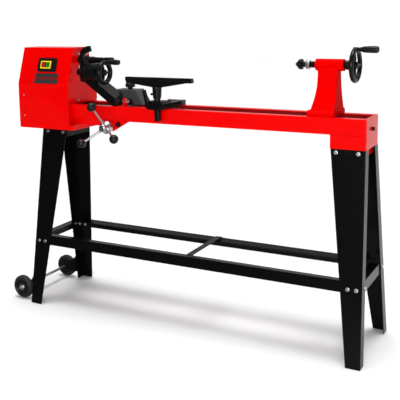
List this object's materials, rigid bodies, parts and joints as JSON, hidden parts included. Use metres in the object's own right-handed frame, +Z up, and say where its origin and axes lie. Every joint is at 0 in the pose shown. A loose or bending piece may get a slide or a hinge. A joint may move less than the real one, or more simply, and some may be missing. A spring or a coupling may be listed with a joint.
{
  "type": "wood lathe",
  "caption": "Free-standing wood lathe: belt-driven headstock in a cabinet, open bed, tool rest, feed unit, sliding tailstock and a splayed stand with transport wheels.",
  "frame": {"origin": "on the floor, under the middle of the machine's bounding box", "axes": "+X along the bed from headstock to tailstock, +Y to the rear, +Z up"},
  "size_m": [1.5212, 0.374, 1.08],
  "materials": {
    "red_paint": "gloss",
    "black_paint": "satin",
    "black_iron": "satin painted",
    "grey_iron": "satin painted",
    "plated_steel": "zinc plated",
    "steel": "machined",
    "black_plastic": "satin",
    "yellow_plastic": "gloss",
    "red_plastic": "gloss",
    "green_plastic": "gloss",
    "rubber": "matte",
    "motor_alloy": "cast",
    "label": "satin"
  },
  "bodies": {
    "frame": {"cabinet_shell": "red_paint", "cabinet_side_right": "red_paint", "cabinet_side_left": "red_paint", "base_tray": "red_paint", "bed_rail_front": "red_paint", "bed_rail_rear": "red_paint", "bed_end_cap": "red_paint", "bed_fittings": "red_paint", "leg_block_right": "red_paint", "leg_block_left": "black_paint", "leg_front_left": "black_paint", "leg_front_right": "black_paint", "leg_rear_left": "black_paint", "leg_rear_right": "black_paint", "stretcher_front": "black_paint", "stretcher_rear": "black_paint", "stretcher_left": "black_paint", "stretcher_right": "black_paint", "stretcher_middle": "black_paint", "wheel_brackets": "black_paint", "wheel_axle": "plated_steel", "plated_fasteners": "plated_steel", "black_bolts": "black_iron", "headstock_housing": "grey_iron", "spindle_bearings": "steel", "motor": "motor_alloy", "drive_belt": "rubber", "switch_plate": "black_plastic", "switch_frame": "yellow_plastic", "label_plate": "label"},
    "carriage": {"feed_saddle": "grey_iron", "feed_arm": "black_iron", "feed_barrel": "black_iron"},
    "feed_ram": {"feed_quill": "black_iron"},
    "feed_wheel": {"feed_handwheel": "black_iron"},
    "feed_handle": {"feed_grip": "black_plastic"},
    "feed_lever": {"clamp_lever": "black_iron"},
    "feed_knob": {"saddle_knob": "black_plastic"},
    "capstan": {"capstan_hub": "steel", "capstan_knobs": "black_plastic"},
    "spindle": {"spindle": "black_iron", "spindle_pulley": "motor_alloy", "drive_centre": "black_iron"},
    "motor_rotor": {"motor_pulley": "steel"},
    "button_green": {"button_green": "green_plastic"},
    "button_red": {"button_red": "red_plastic"},
    "wheel_front": {"transport_wheel_front": "rubber"},
    "wheel_rear": {"transport_wheel_rear": "rubber"},
    "tailstock": {"tailstock_body": "red_paint", "tailstock_clamp": "plated_steel"},
    "tail_quill": {"tailstock_quill": "black_iron"},
    "live_centre": {"live_centre": "black_iron"},
    "tail_wheel": {"tailstock_handwheel": "black_iron"},
    "tail_handle": {"tailstock_grip": "black_plastic"},
    "banjo": {"banjo": "black_iron", "banjo_clamp": "plated_steel"},
    "rest_post": {"rest_post": "black_iron"},
    "tool_rest": {"tool_rest": "black_iron"},
    "banjo_lever": {"banjo_lever": "black_iron"},
    "rest_lever": {"rest_lever": "black_iron"}
  },
  "joints": [
    {"name": "spindle_spin", "type": "hinge", "parent": "frame", "child": "spindle", "pos_m": [-0.474, 0, 1.013], "axis": [1, 0, 0], "continuous": true},
    {"name": "motor_spin", "type": "hinge", "parent": "frame", "child": "motor_rotor", "pos_m": [-0.689, 0, 0.9], "axis": [1, 0, 0], "continuous": true},
    {"name": "green_press", "type": "slide", "parent": "frame", "child": "button_green", "axis": [0, 0.9512, -0.3085], "range_m": [0, 0.003], "stiffness_N_per_m": 500},
    {"name": "red_press", "type": "slide", "parent": "frame", "child": "button_red", "axis": [0, 0.9512, -0.3085], "range_m": [0, 0.003], "stiffness_N_per_m": 500},
    {"name": "wheel_front_spin", "type": "hinge", "parent": "frame", "child": "wheel_front", "pos_m": [-0.714, -0.15, 0.05], "axis": [0, 1, 0], "continuous": true},
    {"name": "wheel_rear_spin", "type": "hinge", "parent": "frame", "child": "wheel_rear", "pos_m": [-0.714, 0.15, 0.05], "axis": [0, 1, 0], "continuous": true},
    {"name": "carriage_slide", "type": "slide", "parent": "frame", "child": "carriage", "axis": [1, 0, 0], "range_m": [-0.005, 0.03]},
    {"name": "feed_turn", "type": "hinge", "parent": "carriage", "child": "feed_wheel", "pos_m": [-0.324, -0.06, 0.968], "axis": [1, 0, 0], "range_deg": [-480, 1440]},
    {"name": "feed_travel", "type": "slide", "parent": "carriage", "child": "feed_ram", "axis": [-1, 0, 0], "range_m": [-0.004, 0.012]},
    {"name": "feed_grip_spin", "type": "hinge", "parent": "feed_wheel", "child": "feed_handle", "pos_m": [-0.324, -0.06, 1.0105], "axis": [1, 0, 0], "continuous": true},
    {"name": "feed_lever_turn", "type": "hinge", "parent": "carriage", "child": "feed_lever", "pos_m": [-0.421, -0.0754, 1.02], "axis": [0, 1, 0], "range_deg": [-40, 12]},
    {"name": "saddle_knob_turn", "type": "hinge", "parent": "carriage", "child": "feed_knob", "pos_m": [-0.265, 0.034, 0.895], "axis": [0, 0, 1], "range_deg": [-180, 180]},
    {"name": "capstan_turn", "type": "hinge", "parent": "frame", "child": "capstan", "pos_m": [-0.296, -0.08, 0.755], "axis": [0, 1, 0], "continuous": true},
    {"name": "tailstock_slide", "type": "slide", "parent": "frame", "child": "tailstock", "axis": [1, 0, 0], "range_m": [-0.1, 0.095]},
    {"name": "tail_wheel_turn", "type": "hinge", "parent": "tailstock", "child": "tail_wheel", "pos_m": [0.679, 0, 1.013], "axis": [1, 0, 0], "range_deg": [-900, 4050]},
    {"name": "quill_travel", "type": "slide", "parent": "tailstock", "child": "tail_quill", "axis": [-1, 0, 0], "range_m": [-0.01, 0.045]},
    {"name": "tail_grip_spin", "type": "hinge", "parent": "tail_wheel", "child": "tail_handle", "pos_m": [0.679, 0, 1.0675], "axis": [1, 0, 0], "continuous": true},
    {"name": "live_centre_spin", "type": "hinge", "parent": "tail_quill", "child": "live_centre", "pos_m": [0.479, 0, 1.013], "axis": [1, 0, 0], "continuous": true},
    {"name": "banjo_slide", "type": "slide", "parent": "frame", "child": "banjo", "axis": [1, 0, 0], "range_m": [-0.01, 0.14]},
    {"name": "rest_height", "type": "slide", "parent": "banjo", "child": "rest_post", "axis": [0, 0, 1], "range_m": [0, 0.05]},
    {"name": "rest_turn", "type": "hinge", "parent": "rest_post", "child": "tool_rest", "pos_m": [-0.061, -0.095, 0.9], "axis": [0, 0, 1], "range_deg": [-90, 90]},
    {"name": "banjo_lever_turn", "type": "hinge", "parent": "banjo", "child": "banjo_lever", "pos_m": [-0.034, -0.1224, 0.849], "axis": [0, -1, 0], "range_deg": [-60, 18]},
    {"name": "rest_lever_turn", "type": "hinge", "parent": "banjo", "child": "rest_lever", "pos_m": [-0.083, -0.1224, 0.853], "axis": [0, -1, 0], "range_deg": [-35, 30]}
  ],
  "couplings": [
    {"joint": "motor_spin", "follows": "spindle_spin", "ratio": 2},
    {"joint": "quill_travel", "follows": "tail_wheel_turn", "m_per_rad": 0.00063662},
    {"joint": "feed_travel", "follows": "feed_turn", "m_per_rad": 0.00047746}
  ]
}
